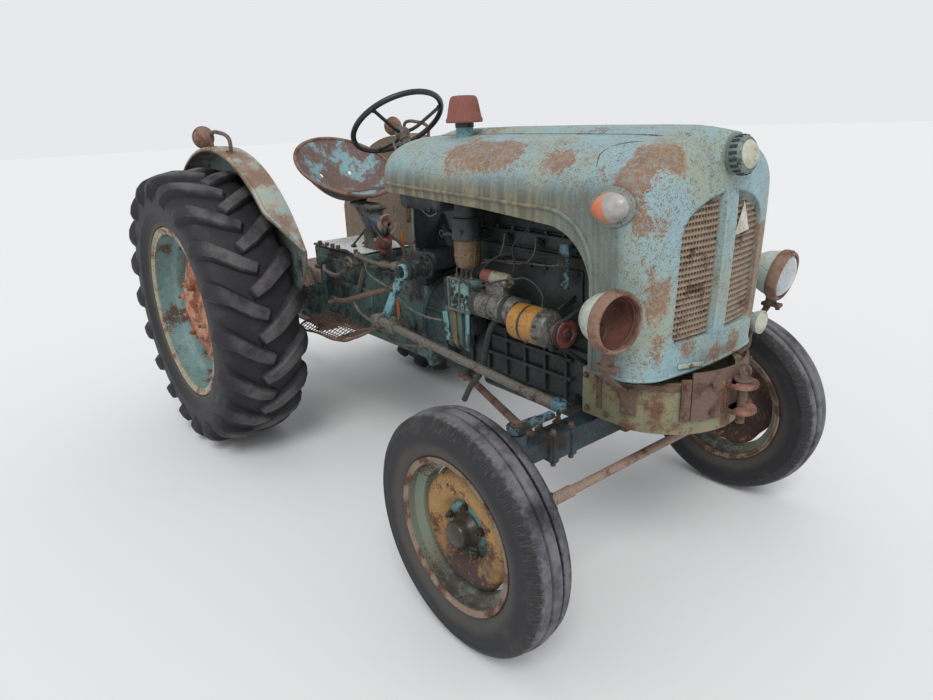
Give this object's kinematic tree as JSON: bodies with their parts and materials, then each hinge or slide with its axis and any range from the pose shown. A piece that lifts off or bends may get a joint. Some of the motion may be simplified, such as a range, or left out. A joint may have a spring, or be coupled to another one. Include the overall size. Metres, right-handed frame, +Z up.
{
  "type": "vintage farm tractor",
  "caption": "Small vintage farm tractor with open engine sides, a rounded bonnet, large lugged rear wheels under mudguards, steered front wheels, a pan seat and front and rear hitches",
  "frame": {"origin": "on the ground under the middle of the whole tractor's bounding box", "axes": "+X forward, +Y to the driver's left, +Z up"},
  "size_m": [3.3217, 1.84, 1.7129],
  "materials": {
    "body_paint": "old light blue paint, chalky, with rust showing through",
    "wheel_paint": "worn blue and ochre paint with much rust",
    "engine_casting": "oily dark cast iron with dust",
    "cast_frame": "rusty casting with remains of paint",
    "bare_rusty_steel": "bare rusty steel, matte",
    "worn_steel": "dull grey worn steel",
    "lamp_shell": "faded cream paint with rusty rims",
    "lamp_lens": "dull orange and clear lens",
    "black_plastic": "hard black plastic, worn",
    "tyre_rubber": "worn grey-black rubber with dry mud"
  },
  "bodies": {
    "chassis": {"engine_block": "engine_casting", "cylinder_head": "engine_casting", "bell_housing": "body_paint", "gearbox": "body_paint", "axle_housing": "body_paint", "drawbar": "bare_rusty_steel", "pto_shaft": "worn_steel", "front_bolster": "cast_frame", "front_hitch": "cast_frame", "axle_beam": "cast_frame", "radius_rods": "bare_rusty_steel", "bonnet": "body_paint", "grille": "bare_rusty_steel", "radiator": "engine_casting", "fuel_tank": "body_paint", "steering_box": "engine_casting", "seat_pan": "body_paint", "seat_bracket": "worn_steel", "tool_box": "bare_rusty_steel", "mudguard_right": "body_paint", "mudguard_left": "body_paint", "tail_lamps": "lamp_shell", "headlamp_right": "lamp_shell", "headlamp_left": "lamp_shell", "side_lamp": "lamp_shell", "indicators": "lamp_lens", "nose_lamp": "lamp_shell", "grab_handles": "bare_rusty_steel", "air_intake": "bare_rusty_steel", "oil_filter": "engine_casting", "injection_pump": "body_paint", "starter_motor": "worn_steel", "dynamo": "worn_steel", "fan_pulleys": "engine_casting", "exhaust_pipe": "bare_rusty_steel", "step_plates": "bare_rusty_steel", "levers": "bare_rusty_steel"},
    "knuckle_right": {"knuckle_right": "cast_frame"},
    "knuckle_left": {"knuckle_left": "cast_frame"},
    "steering_wheel": {"steering_wheel": "black_plastic"},
    "pitman_arm": {"pitman_arm": "body_paint"},
    "drag_link": {"drag_link": "worn_steel"},
    "tie_rod": {"tie_rod": "bare_rusty_steel"},
    "front_wheel_right": {"front_wheel_right": "wheel_paint", "front_tyre_right": "tyre_rubber"},
    "front_wheel_left": {"front_wheel_left": "wheel_paint", "front_tyre_left": "tyre_rubber"},
    "rear_wheel_right": {"rear_wheel_right": "body_paint", "rear_tyre_right": "tyre_rubber"},
    "rear_wheel_left": {"rear_wheel_left": "body_paint", "rear_tyre_left": "tyre_rubber"}
  },
  "joints": [
    {"name": "steer_right", "type": "hinge", "parent": "chassis", "child": "knuckle_right", "pos_m": [1.15, -0.52, 0.565], "axis": [0, 0, 1], "range_deg": [-35, 35]},
    {"name": "steer_left", "type": "hinge", "parent": "chassis", "child": "knuckle_left", "pos_m": [1.15, 0.52, 0.565], "axis": [0, 0, 1], "range_deg": [-35, 35]},
    {"name": "tie_rod_swing", "type": "hinge", "parent": "knuckle_right", "child": "tie_rod", "pos_m": [1.3, -0.52, 0.472], "axis": [0, 0, 1], "range_deg": [-35, 35]},
    {"name": "drag_link_swing", "type": "hinge", "parent": "knuckle_right", "child": "drag_link", "pos_m": [1.18, -0.36, 0.702], "axis": [0, -0.0698, 0.9976], "range_deg": [-35, 35]},
    {"name": "pitman_swing", "type": "hinge", "parent": "chassis", "child": "pitman_arm", "pos_m": [0.255, -0.319, 1], "axis": [0, 1, 0], "range_deg": [-25, 25]},
    {"name": "steering_wheel_turn", "type": "hinge", "parent": "chassis", "child": "steering_wheel", "pos_m": [-0.185, 0, 1.573], "axis": [-0.5878, 0, 0.809], "range_deg": [-456, 456]},
    {"name": "roll_front_right", "type": "hinge", "parent": "knuckle_right", "child": "front_wheel_right", "pos_m": [1.15, -0.733, 0.394], "axis": [0, 1, 0], "continuous": true},
    {"name": "roll_front_left", "type": "hinge", "parent": "knuckle_left", "child": "front_wheel_left", "pos_m": [1.15, 0.733, 0.394], "axis": [0, 1, 0], "continuous": true},
    {"name": "roll_rear_right", "type": "hinge", "parent": "chassis", "child": "rear_wheel_right", "pos_m": [-0.95, -0.72, 0.7], "axis": [0, 1, 0], "continuous": true},
    {"name": "roll_rear_left", "type": "hinge", "parent": "chassis", "child": "rear_wheel_left", "pos_m": [-0.95, 0.72, 0.7], "axis": [0, 1, 0], "continuous": true}
  ],
  "couplings": [
    {"joint": "steer_left", "follows": "steer_right", "ratio": 1},
    {"joint": "tie_rod_swing", "follows": "steer_right", "ratio": -1},
    {"joint": "drag_link_swing", "follows": "steer_right", "ratio": -1},
    {"joint": "pitman_swing", "follows": "steer_right", "ratio": 0.696},
    {"joint": "steering_wheel_turn", "follows": "steer_right", "ratio": 13}
  ]
}
